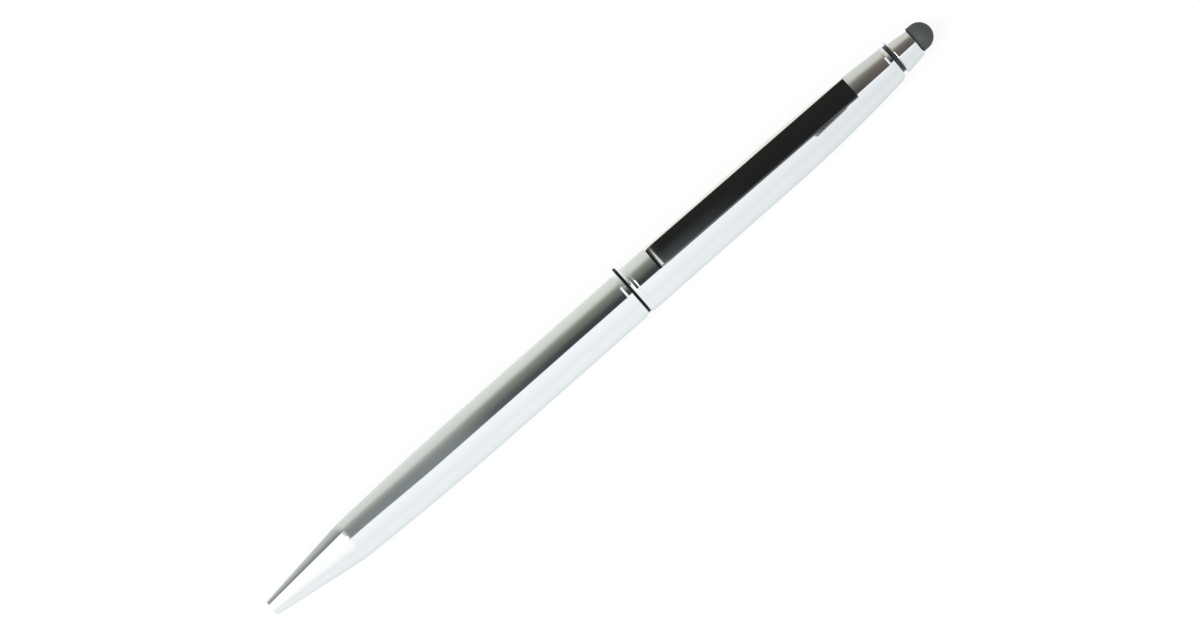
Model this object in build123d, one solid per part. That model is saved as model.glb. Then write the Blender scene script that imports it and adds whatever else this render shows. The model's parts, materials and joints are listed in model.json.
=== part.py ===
from build123d import *
import math
import os

# Twist-action ball pen with a rubber touch dome on its top end, in millimetres.
# The pen lies along X on the surface z = 0: nose at -X, dome at +X, clip upwards.
# The pieces are drawn with x counted from the nose end and the pen's axis at y = z = 0.

# Lengths along the pen
NOSE_CONE_LENGTH = 15.5
LOWER_LENGTH = 72.45
LOWER_STRAIGHT = 26.5
SHOULDER_LENGTH = 1.0
COLLAR_THICKNESS = 0.45
RING_WIDTH = 0.93
UPPER_LENGTH = 51.4
TAPER_LENGTH = 23.8
TOP_BEVEL_LENGTH = 0.8
NECK_LENGTH = 0.7
HOLDER_LENGTH = 3.62
DOME_LENGTH = 3.35

# Radii of the outside
NOSE_RADIUS = 1.48
CONE_BASE_RADIUS = 3.85
BARREL_RADIUS = 4.6
SHOULDER_DROP = 0.3
TAPER_END_RADIUS = 3.45
TOP_BEVEL_DROP = 0.4
NECK_RADIUS = 2.5
HOLDER_BASE_RADIUS = 3.05
HOLDER_TIP_RADIUS = 2.55
DOME_RADIUS = 2.27
EDGE_BREAK = 0.12

# Fits
FIT_GAP = 0.02
RUN_GAP = 0.05
AXIAL_PLAY = 0.02
PIN_GAP = 0.07

# Hollow of the barrels
BARREL_WALL = 0.8
BORE_DEPTH = 22.0
MID_BORE_RADIUS = 3.15
MID_BORE_FLOOR = 20.0
THROAT_GAP = 0.25
THROAT_FLOOR = 8.5
DRILL_CONE = 1.2
TOP_BORE_RADIUS = 2.45
TOP_BORE_DEPTH = 8.6
CAVITY_TAPER_LENGTH = 8.0
CAVITY_END_RADIUS = 3.3

# Refill
RETRACT_DEPTH = 1.5
BALL_RADIUS = 0.5
BALL_GAP = 0.015
BALL_SHOWS = 0.36
TIP_RIM = 0.12
TIP_CONE_LENGTH = 3.0
TIP_RADIUS = 1.15
TIP_LENGTH = 12.0
TIP_FLANGE_LENGTH = 0.6
TIP_SPIGOT_LENGTH = 3.0
TIP_BORE_RADIUS = 0.35
REFILL_RADIUS = 1.5
REFILL_WALL = 0.25
FOLLOWER_LENGTH = 5.0
AIR_LENGTH = 9.0
ADAPTER_SPIGOT_LENGTH = 4.0
ADAPTER_COLLAR_LENGTH = 1.0
ADAPTER_STUD_RADIUS = 1.1
ADAPTER_STUD_LENGTH = 3.4

# Twist mechanism
TRAVEL = 4.5
TWIST_DEG = 180.0
SPIGOT_LENGTH = 8.0
SPIGOT_EDGE = 0.3
GUIDE_SEAT_LENGTH = 7.0
RING_SLEEVE_LENGTH = 3.0
RING_SLEEVE_WALL = 0.4
RING_EDGE_DROP = 0.25
CARRIER_RADIUS = 1.9
CARRIER_FRONT = 5.0
CARRIER_REAR = 2.5
GUIDE_WALL = 0.4
GUIDE_TAIL = 0.7
PIN_RADIUS = 0.6
PIN_INSET = 0.2
CAM_SETBACK = 10.0
CAM_FRONT_WALL = 5.0
CAM_REAR_WALL = 3.0
CAM_LEAD_IN = 0.3
CLIP_RING_THICKNESS = 0.5
CLIP_RING_HEIGHT = 0.7
CLIP_RING_GROOVE = 0.2
CLIP_RING_OPENING = 2.0

# Clip
CLIP_LENGTH = 39.45
CLIP_WIDTH = 3.6
CLIP_DEPTH = 1.1
CLIP_CROWN = 0.15
CLIP_RISE = 0.9
CLIP_FALL = 1.3
CLIP_SHEET = 0.5
CLIP_NOSE_RADIUS = 0.85
CLIP_EDGE_RADIUS = 0.2
CLIP_TAIL = 2.2
CLIP_SIDE_GAP = 0.08
BEAD_RADIUS = 0.8
BEAD_SETBACK = 1.7
BEAD_GAP = 0.12
SADDLE_SETBACK = 9.93
SADDLE_LENGTH = 6.6
SADDLE_FRONT_WIDTH = 4.2
SADDLE_REAR_WIDTH = 3.6
SADDLE_CORNER = 0.4
SADDLE_DEPTH = 2.2
SADDLE_GAP = 0.1
BLOCK_INSET = 0.6
EYE_RADIUS = 1.8
EYE_THICKNESS = 1.2
EYE_SETBACK = 0.3

# Stylus end
SHANK_LENGTH = 7.4
TAIL_RADIUS = 0.95
TAIL_REACH = 1.0
STUD_RADIUS = 1.4
STUD_LENGTH = 2.4
HOLDER_EDGE = 0.18
DOME_WALL = 0.7
DOME_STEM_RADIUS = 1.5
DOME_FLANGE_RADIUS = 1.9
DOME_FLANGE_LENGTH = 0.55
DOME_LIP = 0.06
DOME_LIP_LENGTH = 0.35

# Stations along the pen
RING_X = LOWER_LENGTH + COLLAR_THICKNESS + AXIAL_PLAY
UPPER_X = RING_X + RING_WIDTH
UPPER_END = UPPER_X + UPPER_LENGTH
HOLDER_X = UPPER_END + NECK_LENGTH
DOME_X = HOLDER_X + HOLDER_LENGTH
OVERALL_LENGTH = DOME_X + DOME_LENGTH

# Radii that follow from the fits
BORE_RADIUS = BARREL_RADIUS - BARREL_WALL
SHOULDER_RADIUS = BARREL_RADIUS - SHOULDER_DROP
NOSE_BORE_RADIUS = TIP_RADIUS + RUN_GAP
THROAT_RADIUS = REFILL_RADIUS + THROAT_GAP
TUBE_BORE_RADIUS = REFILL_RADIUS - REFILL_WALL
PLUG_RADIUS = TUBE_BORE_RADIUS - FIT_GAP
GUIDE_BORE_RADIUS = CARRIER_RADIUS + RUN_GAP
GUIDE_RADIUS = GUIDE_BORE_RADIUS + GUIDE_WALL
CAM_BORE_RADIUS = GUIDE_RADIUS + RUN_GAP
CAM_RADIUS = BORE_RADIUS - FIT_GAP
RING_BORE_RADIUS = CAM_RADIUS - RING_SLEEVE_WALL

# Stations of the mechanism with the refill drawn in
CAM_X = UPPER_X + CAM_SETBACK
PIN_X = CAM_X + CAM_FRONT_WALL + TRAVEL
CAM_END = PIN_X + CAM_REAR_WALL
CLIP_RING_X = CAM_END + AXIAL_PLAY
GUIDE_X = LOWER_LENGTH - GUIDE_SEAT_LENGTH
GUIDE_END = CLIP_RING_X + CLIP_RING_THICKNESS + GUIDE_TAIL
CARRIER_X = PIN_X - CARRIER_FRONT
TUBE_END = CARRIER_X - ADAPTER_COLLAR_LENGTH
BALL_X = RETRACT_DEPTH + BALL_RADIUS
TIP_X = RETRACT_DEPTH + BALL_SHOWS
TUBE_X = TIP_X + TIP_LENGTH + TIP_FLANGE_LENGTH
INK_X = TUBE_X + TIP_SPIGOT_LENGTH
FOLLOWER_END = TUBE_END - ADAPTER_SPIGOT_LENGTH - AIR_LENGTH
FOLLOWER_X = FOLLOWER_END - FOLLOWER_LENGTH

# Heights above the pen's axis and stations of the clip
CLIP_FLOOR = BARREL_RADIUS + CLIP_RISE
CLIP_TOP = CLIP_FLOOR + CLIP_DEPTH
WEB_FLOOR = CLIP_TOP - CLIP_SHEET
SADDLE_END = UPPER_END - SADDLE_SETBACK
SADDLE_X = SADDLE_END - SADDLE_LENGTH
CLIP_END = SADDLE_END + CLIP_TAIL
CLIP_X = CLIP_END - CLIP_LENGTH
CLIP_SLOPE_DEG = math.degrees(math.atan2(CLIP_FALL, CLIP_LENGTH))
SADDLE_FALL = CLIP_FALL * (SADDLE_END - CLIP_X) / CLIP_LENGTH
SADDLE_TOP = CLIP_FLOOR - SADDLE_FALL - SADDLE_GAP
SADDLE_FLOOR = SADDLE_TOP - SADDLE_DEPTH
CHANNEL_WIDTH = CLIP_WIDTH - 2 * CLIP_SHEET
EYE_END = SADDLE_END - EYE_SETBACK
EYE_X = EYE_END - EYE_THICKNESS


def turned(*edges):
    """The solid that a closed outline of (x, radius) edges makes when turned about the pen's axis."""
    return revolve(make_face(edges), Axis.X)


def lathe(*points):
    """A turned solid with a straight-edged outline."""
    return turned(Polyline(*points, close=True))


def tube(start, end, outer, inner):
    return lathe((start, inner), (end, inner), (end, outer), (start, outer))


def rod(start, end, radius):
    return lathe((start, 0), (end, 0), (end, radius), (start, radius))


def upright(outline, bottom, top):
    """A flat outline in x and y, raised from one height to another."""
    return extrude(Plane.XY.offset(bottom) * outline, amount=top - bottom)


def block(start, end, width, bottom, top):
    """A box along the pen, centred on it."""
    middle = Pos((start + end) / 2, 0, (bottom + top) / 2)
    return middle * Box(end - start, width, top - bottom)


def crosswise(radius, length):
    """A cylinder across the pen, centred on its axis."""
    return Rot(90, 0, 0) * Cylinder(radius, length)


def saddle_outline(gap):
    """The plan of the clip's foot, narrower at its rear, widened by a gap all round."""
    front = SADDLE_FRONT_WIDTH / 2 + gap
    rear = SADDLE_REAR_WIDTH / 2 + gap
    start = SADDLE_X - gap
    end = SADDLE_END + gap
    plan = make_face(Polyline((start, -front), (end, -rear), (end, rear), (start, front), close=True))
    return fillet(plan.vertices(), SADDLE_CORNER + gap)


def lower_barrel():
    swell_end = LOWER_LENGTH - LOWER_STRAIGHT
    shoulder_x = LOWER_LENGTH - SHOULDER_LENGTH
    bore_floor = LOWER_LENGTH - BORE_DEPTH
    nose = Polyline(
        (0, NOSE_BORE_RADIUS),
        (0, NOSE_RADIUS - EDGE_BREAK),
        (EDGE_BREAK, NOSE_RADIUS),
        (NOSE_CONE_LENGTH, CONE_BASE_RADIUS),
    )
    swell = TangentArc(
        (swell_end, BARREL_RADIUS), (NOSE_CONE_LENGTH, CONE_BASE_RADIUS), tangent=(-1, 0)
    )
    straight = Line((swell_end, BARREL_RADIUS), (shoulder_x, BARREL_RADIUS))
    shoulder = TangentArc(
        (shoulder_x, BARREL_RADIUS), (LOWER_LENGTH, SHOULDER_RADIUS), tangent=(1, 0)
    )
    hollow = Polyline(
        (LOWER_LENGTH, SHOULDER_RADIUS),
        (LOWER_LENGTH, BORE_RADIUS),
        (bore_floor, BORE_RADIUS),
        (bore_floor - DRILL_CONE, MID_BORE_RADIUS),
        (MID_BORE_FLOOR, MID_BORE_RADIUS),
        (MID_BORE_FLOOR - DRILL_CONE, THROAT_RADIUS),
        (THROAT_FLOOR, THROAT_RADIUS),
        (THROAT_FLOOR - DRILL_CONE, NOSE_BORE_RADIUS),
        (0, NOSE_BORE_RADIUS),
    )
    return turned(nose, swell, straight, shoulder, hollow)


def coupling_ferrule():
    start = LOWER_LENGTH - SPIGOT_LENGTH
    collar_end = LOWER_LENGTH + COLLAR_THICKNESS
    end = UPPER_X + RING_SLEEVE_LENGTH
    spigot = BORE_RADIUS - RUN_GAP
    journal = RING_BORE_RADIUS - RUN_GAP
    seat = GUIDE_RADIUS + FIT_GAP
    return lathe(
        (start, GUIDE_BORE_RADIUS),
        (start, spigot - SPIGOT_EDGE),
        (start + SPIGOT_EDGE, spigot),
        (LOWER_LENGTH, spigot),
        (LOWER_LENGTH, SHOULDER_RADIUS),
        (collar_end, SHOULDER_RADIUS),
        (collar_end, journal),
        (end, journal),
        (end, seat),
        (GUIDE_X, seat),
        (GUIDE_X, GUIDE_BORE_RADIUS),
    )


def guide_tube():
    body = tube(GUIDE_X, GUIDE_END, GUIDE_RADIUS, GUIDE_BORE_RADIUS)
    groove = tube(
        CLIP_RING_X,
        CLIP_RING_X + CLIP_RING_THICKNESS,
        GUIDE_RADIUS + FIT_GAP,
        GUIDE_RADIUS - CLIP_RING_GROOVE,
    )
    reach = PIN_RADIUS + PIN_GAP
    straight_slots = Pos(PIN_X - TRAVEL / 2, 0, 0) * extrude(
        Plane.XZ * SlotOverall(TRAVEL + 2 * reach, 2 * reach), amount=CAM_RADIUS, both=True
    )
    return body - groove - straight_slots


def retaining_ring():
    inner = GUIDE_RADIUS - CLIP_RING_GROOVE + FIT_GAP
    outer = inner + CLIP_RING_HEIGHT
    ring = tube(CLIP_RING_X, CLIP_RING_X + CLIP_RING_THICKNESS - FIT_GAP, outer, inner)
    opening = block(CLIP_RING_X, GUIDE_END, CLIP_RING_OPENING, -outer - FIT_GAP, 0)
    return ring - opening


def cam_sleeve():
    rise_per_radian = TRAVEL / math.radians(TWIST_DEG)
    reach = PIN_RADIUS + PIN_GAP
    half_width = reach * math.hypot(1, rise_per_radian / CAM_BORE_RADIUS)
    extra = reach / CAM_BORE_RADIUS
    helix = Helix(
        pitch=rise_per_radian * 2 * math.pi,
        height=TRAVEL + 2 * extra * rise_per_radian,
        radius=(CAM_BORE_RADIUS + CAM_RADIUS) / 2,
        lefthand=True,
    )
    cutter_height = CAM_RADIUS - CAM_BORE_RADIUS + 2 * RUN_GAP
    profile = Pos(helix.position_at(0)) * (Plane.XZ * Rectangle(cutter_height, 2 * half_width))
    start_deg = TWIST_DEG + math.degrees(extra)
    start_x = PIN_X - TRAVEL - extra * rise_per_radian
    slot = Pos(0, 0, start_x) * Rot(0, 0, start_deg) * sweep(profile, path=helix, is_frenet=True)
    along_pen = Plane(origin=(0, 0, 0), x_dir=(0, 1, 0), z_dir=(1, 0, 0))
    body = lathe(
        (CAM_X, CAM_BORE_RADIUS),
        (CAM_X, CAM_RADIUS - CAM_LEAD_IN),
        (CAM_X + CAM_LEAD_IN, CAM_RADIUS),
        (CAM_END - CAM_LEAD_IN, CAM_RADIUS),
        (CAM_END, CAM_RADIUS - CAM_LEAD_IN),
        (CAM_END, CAM_BORE_RADIUS),
    )
    for turn in (0, 180):
        body -= along_pen * Rot(0, 0, turn) * slot
    return body


def carrier():
    body = tube(CARRIER_X, PIN_X + CARRIER_REAR, CARRIER_RADIUS, 0)
    socket = rod(CARRIER_X, CARRIER_X + ADAPTER_STUD_LENGTH + FIT_GAP, ADAPTER_STUD_RADIUS + FIT_GAP)
    pin_hole = Pos(PIN_X, 0, 0) * crosswise(PIN_RADIUS + FIT_GAP, 2 * CAM_RADIUS)
    return body - socket - pin_hole


def drive_pin():
    return Pos(PIN_X, 0, 0) * crosswise(PIN_RADIUS, 2 * (CAM_RADIUS - PIN_INSET))


def refill_adapter():
    return lathe(
        (TUBE_END - ADAPTER_SPIGOT_LENGTH, 0),
        (TUBE_END - ADAPTER_SPIGOT_LENGTH, PLUG_RADIUS),
        (TUBE_END, PLUG_RADIUS),
        (TUBE_END, REFILL_RADIUS),
        (CARRIER_X, REFILL_RADIUS),
        (CARRIER_X, ADAPTER_STUD_RADIUS),
        (CARRIER_X + ADAPTER_STUD_LENGTH, ADAPTER_STUD_RADIUS),
        (CARRIER_X + ADAPTER_STUD_LENGTH, 0),
    )


def refill_tube():
    return tube(TUBE_X, TUBE_END, REFILL_RADIUS, TUBE_BORE_RADIUS)


def refill_ink():
    return rod(INK_X, FOLLOWER_X, PLUG_RADIUS)


def ink_follower():
    return rod(FOLLOWER_X, FOLLOWER_END, PLUG_RADIUS)


def refill_tip():
    flange_x = TIP_X + TIP_LENGTH
    body = lathe(
        (TIP_X, 0),
        (TIP_X, BALL_RADIUS + TIP_RIM),
        (TIP_X + TIP_CONE_LENGTH, TIP_RADIUS),
        (flange_x, TIP_RADIUS),
        (flange_x, REFILL_RADIUS),
        (TUBE_X, REFILL_RADIUS),
        (TUBE_X, PLUG_RADIUS),
        (INK_X, PLUG_RADIUS),
        (INK_X, 0),
    )
    socket = Pos(BALL_X, 0, 0) * Sphere(BALL_RADIUS + BALL_GAP)
    return body - socket - rod(BALL_X, INK_X, TIP_BORE_RADIUS)


def refill_ball():
    return Pos(BALL_X, 0, 0) * Sphere(BALL_RADIUS)


def center_ring():
    edge = BARREL_RADIUS - RING_EDGE_DROP
    bulge = ThreePointArc(
        (RING_X, edge), (RING_X + RING_WIDTH / 2, BARREL_RADIUS), (UPPER_X, edge)
    )
    sleeve_end = UPPER_X + RING_SLEEVE_LENGTH
    inside = Polyline(
        (UPPER_X, edge),
        (UPPER_X, CAM_RADIUS),
        (sleeve_end, CAM_RADIUS),
        (sleeve_end, RING_BORE_RADIUS),
        (RING_X, RING_BORE_RADIUS),
        (RING_X, edge),
    )
    return turned(bulge, inside)


def upper_barrel():
    taper_x = UPPER_END - TAPER_LENGTH
    bevel_x = UPPER_END - TOP_BEVEL_LENGTH
    top_floor = UPPER_END - TOP_BORE_DEPTH
    start = Polyline(
        (UPPER_X, BORE_RADIUS),
        (UPPER_X, BARREL_RADIUS - EDGE_BREAK),
        (UPPER_X + EDGE_BREAK, BARREL_RADIUS),
        (taper_x, BARREL_RADIUS),
    )
    taper = TangentArc((taper_x, BARREL_RADIUS), (bevel_x, TAPER_END_RADIUS), tangent=(1, 0))
    inside = Polyline(
        (bevel_x, TAPER_END_RADIUS),
        (UPPER_END, TAPER_END_RADIUS - TOP_BEVEL_DROP),
        (UPPER_END, TOP_BORE_RADIUS),
        (top_floor, TOP_BORE_RADIUS),
        (top_floor, CAVITY_END_RADIUS),
        (top_floor - CAVITY_TAPER_LENGTH, BORE_RADIUS),
        (UPPER_X, BORE_RADIUS),
    )
    slot = upright(saddle_outline(RUN_GAP), 0, CLIP_TOP)
    return turned(start, taper, inside) - slot


def clip_saddle():
    body = upright(saddle_outline(0), SADDLE_FLOOR, SADDLE_TOP)
    tongue = block(
        SADDLE_X + BLOCK_INSET,
        SADDLE_END - BLOCK_INSET,
        CHANNEL_WIDTH - 2 * CLIP_SIDE_GAP,
        SADDLE_FLOOR,
        WEB_FLOOR - SADDLE_FALL - AXIAL_PLAY,
    )
    eye_plate = block(EYE_X, EYE_END, 2 * EYE_RADIUS, 0, SADDLE_TOP) + rod(EYE_X, EYE_END, EYE_RADIUS)
    eye_hole = rod(EYE_X, EYE_END, TAIL_RADIUS + FIT_GAP)
    return body + tongue + eye_plate - eye_hole


def clip_arm():
    half = CLIP_WIDTH / 2
    edge_height = CLIP_TOP - CLIP_CROWN
    crown = ThreePointArc((half, edge_height), (0, CLIP_TOP), (-half, edge_height))
    sides = Polyline(
        (-half, edge_height), (-half, CLIP_FLOOR), (half, CLIP_FLOOR), (half, edge_height)
    )
    bar = extrude(Plane.YZ.offset(CLIP_X) * make_face((crown, sides)), amount=CLIP_LENGTH)
    free_edge = bar.faces().sort_by(Axis.X)[0].edges().sort_by(Axis.Z)[-1]
    bar = fillet(free_edge, CLIP_NOSE_RADIUS)
    upper_edges = bar.edges().filter_by(Axis.X).group_by(Axis.Z)[-1]
    bar = fillet(upper_edges, CLIP_EDGE_RADIUS)
    channel = block(CLIP_X + CLIP_SHEET, CLIP_END - CLIP_SHEET, CHANNEL_WIDTH, 0, WEB_FLOOR)
    free_end = Pos(CLIP_X, 0, CLIP_TOP)
    sloping = free_end * Rot(0, CLIP_SLOPE_DEG, 0) * free_end.inverse() * (bar - channel)
    bead_height = BARREL_RADIUS + BEAD_GAP + BEAD_RADIUS
    bead = Pos(CLIP_X + BEAD_SETBACK, 0, bead_height) * crosswise(BEAD_RADIUS, CHANNEL_WIDTH)
    return sloping + bead


def end_plug():
    shank_x = UPPER_END - SHANK_LENGTH
    shank = TOP_BORE_RADIUS - FIT_GAP
    return lathe(
        (EYE_X - TAIL_REACH, 0),
        (EYE_X - TAIL_REACH, TAIL_RADIUS),
        (shank_x, TAIL_RADIUS),
        (shank_x, shank),
        (UPPER_END, shank),
        (UPPER_END, STUD_RADIUS),
        (UPPER_END + STUD_LENGTH, STUD_RADIUS),
        (UPPER_END + STUD_LENGTH, 0),
    )


def neck_ring():
    return tube(UPPER_END, HOLDER_X, NECK_RADIUS, STUD_RADIUS + FIT_GAP)


def stylus_holder():
    socket = UPPER_END + STUD_LENGTH + FIT_GAP
    undercut_end = socket + DOME_FLANGE_LENGTH + 2 * FIT_GAP
    return lathe(
        (HOLDER_X, STUD_RADIUS + FIT_GAP),
        (HOLDER_X, HOLDER_BASE_RADIUS - HOLDER_EDGE),
        (HOLDER_X + HOLDER_EDGE, HOLDER_BASE_RADIUS),
        (DOME_X - HOLDER_EDGE, HOLDER_TIP_RADIUS),
        (DOME_X, HOLDER_TIP_RADIUS - HOLDER_EDGE),
        (DOME_X, DOME_STEM_RADIUS + FIT_GAP),
        (undercut_end, DOME_STEM_RADIUS + FIT_GAP),
        (undercut_end, DOME_FLANGE_RADIUS + FIT_GAP),
        (socket, DOME_FLANGE_RADIUS + FIT_GAP),
        (socket, STUD_RADIUS + FIT_GAP),
    )


def stylus_dome():
    flange_x = UPPER_END + STUD_LENGTH + 2 * FIT_GAP
    flange_end = flange_x + DOME_FLANGE_LENGTH
    crown_radius = DOME_RADIUS - DOME_LIP
    crown_x = OVERALL_LENGTH - crown_radius
    hollow_radius = crown_radius - DOME_WALL
    hollow_bore = DOME_STEM_RADIUS - DOME_WALL
    outside = Polyline(
        (flange_x, hollow_bore),
        (flange_x, DOME_FLANGE_RADIUS),
        (flange_end, DOME_FLANGE_RADIUS),
        (flange_end, DOME_STEM_RADIUS),
        (DOME_X, DOME_STEM_RADIUS),
        (DOME_X, DOME_RADIUS),
        (DOME_X + DOME_LIP_LENGTH, DOME_RADIUS),
        (DOME_X + DOME_LIP_LENGTH, crown_radius),
        (crown_x, crown_radius),
    )
    crown = CenterArc((crown_x, 0), crown_radius, 0, 90)
    hollow_arc = CenterArc((crown_x, 0), hollow_radius, 0, 90)
    inside = Polyline(
        (crown_x, hollow_radius),
        (DOME_X + DOME_WALL, hollow_radius),
        (DOME_X + DOME_WALL, hollow_bore),
        (flange_x, hollow_bore),
    )
    cap = Line((OVERALL_LENGTH, 0), (crown_x + hollow_radius, 0))
    return turned(outside, crown, cap, hollow_arc, inside)


PIECES = (
    lower_barrel,
    coupling_ferrule,
    guide_tube,
    retaining_ring,
    cam_sleeve,
    carrier,
    drive_pin,
    refill_adapter,
    refill_tube,
    refill_ink,
    ink_follower,
    refill_tip,
    refill_ball,
    center_ring,
    upper_barrel,
    clip_saddle,
    clip_arm,
    end_plug,
    neck_ring,
    stylus_holder,
    stylus_dome,
)

os.makedirs("parts", exist_ok=True)
on_surface = Pos(-OVERALL_LENGTH / 2, 0, BARREL_RADIUS)
for piece in PIECES:
    export_step(on_surface * piece(), "parts/" + piece.__name__ + ".step")
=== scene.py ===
import bmesh
import bpy
import json
import math
import numpy as np
from mathutils import Matrix, Vector

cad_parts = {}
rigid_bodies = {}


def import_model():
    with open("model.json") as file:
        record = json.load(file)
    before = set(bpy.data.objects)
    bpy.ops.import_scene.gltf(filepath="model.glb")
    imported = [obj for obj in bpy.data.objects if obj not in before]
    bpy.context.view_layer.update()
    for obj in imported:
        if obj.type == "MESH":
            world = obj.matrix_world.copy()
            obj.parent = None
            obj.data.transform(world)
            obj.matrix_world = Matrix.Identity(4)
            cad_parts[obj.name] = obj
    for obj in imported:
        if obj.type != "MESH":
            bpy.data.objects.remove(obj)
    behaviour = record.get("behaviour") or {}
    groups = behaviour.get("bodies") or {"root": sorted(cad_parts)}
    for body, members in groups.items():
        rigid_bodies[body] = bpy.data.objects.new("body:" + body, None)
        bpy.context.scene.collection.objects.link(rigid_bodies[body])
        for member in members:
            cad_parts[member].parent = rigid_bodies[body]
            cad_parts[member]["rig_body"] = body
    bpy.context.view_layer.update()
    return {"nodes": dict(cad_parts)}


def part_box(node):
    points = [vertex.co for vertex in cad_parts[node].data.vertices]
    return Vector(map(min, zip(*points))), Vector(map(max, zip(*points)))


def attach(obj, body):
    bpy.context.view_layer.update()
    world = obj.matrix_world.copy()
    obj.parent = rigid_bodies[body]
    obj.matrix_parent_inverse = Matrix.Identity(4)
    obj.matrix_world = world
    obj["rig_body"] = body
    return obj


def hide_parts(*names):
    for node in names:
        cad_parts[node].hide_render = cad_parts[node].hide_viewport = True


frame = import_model()
bpy.context.scene.view_settings.view_transform = "Standard"

# A chromed twist pen with a rubber touch dome lies along X on a white floor, in metres.
MM = 0.001

# Outside of the pen
BARREL_RADIUS = 4.6 * MM
AXIS_Z = BARREL_RADIUS
NOSE_CONE_LENGTH = 15.5 * MM
NOSE_RADIUS = 1.48 * MM
CONE_BASE_RADIUS = 3.85 * MM
LOWER_STRAIGHT = 26.5 * MM
SHOULDER_LENGTH = 1.0 * MM
SHOULDER_RADIUS = 4.3 * MM
RING_EDGE_RADIUS = 4.35 * MM
TAPER_LENGTH = 23.8 * MM
TAPER_END_RADIUS = 3.45 * MM
TOP_BEVEL_LENGTH = 0.95 * MM
TOP_RADIUS = 3.05 * MM
NECK_RADIUS = 2.5 * MM
HOLDER_BASE_RADIUS = 3.05 * MM
HOLDER_TIP_RADIUS = 2.55 * MM
HOLDER_EDGE = 0.18 * MM
DOME_RADIUS = 2.27 * MM
CROWN_RADIUS = 2.21 * MM
DOME_LIP_LENGTH = 0.4 * MM
DOME_GROOVE_DEPTH = 0.35 * MM
DOME_GROOVE_WIDTH = 0.3 * MM
EDGE_BREAK = 0.12 * MM
CREASE_LENGTH = 0.36 * MM
SHOULDER_CREASE_SLOPE = math.radians(14)
CREST_CREASE_SLOPE = math.radians(12)
RING_NEAR_SLOPE = 0.4 * MM
RING_FAR_SLOPE = 0.18 * MM
RING_GROOVE_DEPTH = 0.06 * MM

# Hollows and inner fits
BORE_RADIUS = 3.8 * MM
BORE_DEPTH = 22.0 * MM
MID_BORE_RADIUS = 3.15 * MM
MID_BORE_FLOOR = 20.0 * MM
THROAT_RADIUS = 1.75 * MM
THROAT_FLOOR = 8.5 * MM
NOSE_BORE_RADIUS = 1.2 * MM
DRILL_CONE = 1.2 * MM
CAVITY_END_RADIUS = 3.3 * MM
CAVITY_TAPER_LENGTH = 8.0 * MM
TOP_BORE_RADIUS = 2.45 * MM
TOP_BORE_DEPTH = 8.6 * MM
RING_BORE_RADIUS = 3.38 * MM
SLEEVE_RADIUS = 3.78 * MM
SPIGOT_RADIUS = 3.75 * MM
SPIGOT_EDGE = 0.3 * MM
JOURNAL_RADIUS = 3.33 * MM
GUIDE_SEAT_RADIUS = 2.37 * MM
GUIDE_BORE_RADIUS = 1.95 * MM
STUD_BORE_RADIUS = 1.42 * MM
STUD_SOCKET = 2.42 * MM
DOME_STEM_RADIUS = 1.5 * MM
DOME_FLANGE_RADIUS = 1.9 * MM
DOME_FLANGE_LENGTH = 0.55 * MM
FIT_GAP = 0.02 * MM

# Clip and its slot in the upper barrel
CLIP_LENGTH = 39.45 * MM
CLIP_WIDTH = 3.6 * MM
CLIP_DEPTH = 1.1 * MM
CLIP_CROWN = 0.06 * MM
CLIP_RISE = 0.9 * MM
CLIP_FALL = 1.3 * MM
CLIP_SHEET = 0.5 * MM
CLIP_NOSE_LENGTH = 1.1 * MM
CLIP_NOSE_DROP = 0.8 * MM
CLIP_CURL = 0.06 * MM
CLIP_CURL_LENGTH = 7.0 * MM
CLIP_EDGE_RADIUS = 0.14 * MM
BEAD_RADIUS = 0.8 * MM
BEAD_SETBACK = 1.7 * MM
BEAD_GAP = 0.12 * MM
SADDLE_LENGTH = 6.6 * MM
SADDLE_FRONT_WIDTH = 4.2 * MM
SADDLE_REAR_WIDTH = 3.6 * MM
SLOT_GAP = 0.05 * MM
SLOT_CORNER = 0.45 * MM

# Refill
REFILL_RADIUS = 1.5 * MM
TUBE_BORE_RADIUS = 1.25 * MM
PLUG_RADIUS = 1.23 * MM
TIP_RADIUS = 1.15 * MM
TIP_CONE_LENGTH = 3.0 * MM
TIP_RIM_RADIUS = 0.62 * MM
TIP_LENGTH = 12.0 * MM
SOCKET_RADIUS = 0.515 * MM
CRIMP_SETBACK = 1.4 * MM
CRIMP_WIDTH = 0.5 * MM
CRIMP_DEPTH = 0.07 * MM

# Rounding of the edges
EDGE_ROUND = 0.05 * MM
FINE_ROUND = 0.02 * MM
BREAK_ROUND = 20.0 * MM
CREASE_ROUND = 0.3 * MM
RING_ROUND = 0.1 * MM
CLIP_SOFT_EDGE = 0.05 * MM

# Fineness of the meshes
SEGMENTS = 192
ARC_STEP = math.radians(9)
LONG_STEPS = 48
SWELL_STEPS = 24
SHORT_STEPS = 14
EDGE_SEGMENTS = 3
WELD_GAP = 0.002 * MM
FLAT_ANGLE = math.radians(0.5)
SHARP_ANGLE = math.radians(35)
LEAST_SHARE = 1e-5

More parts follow.
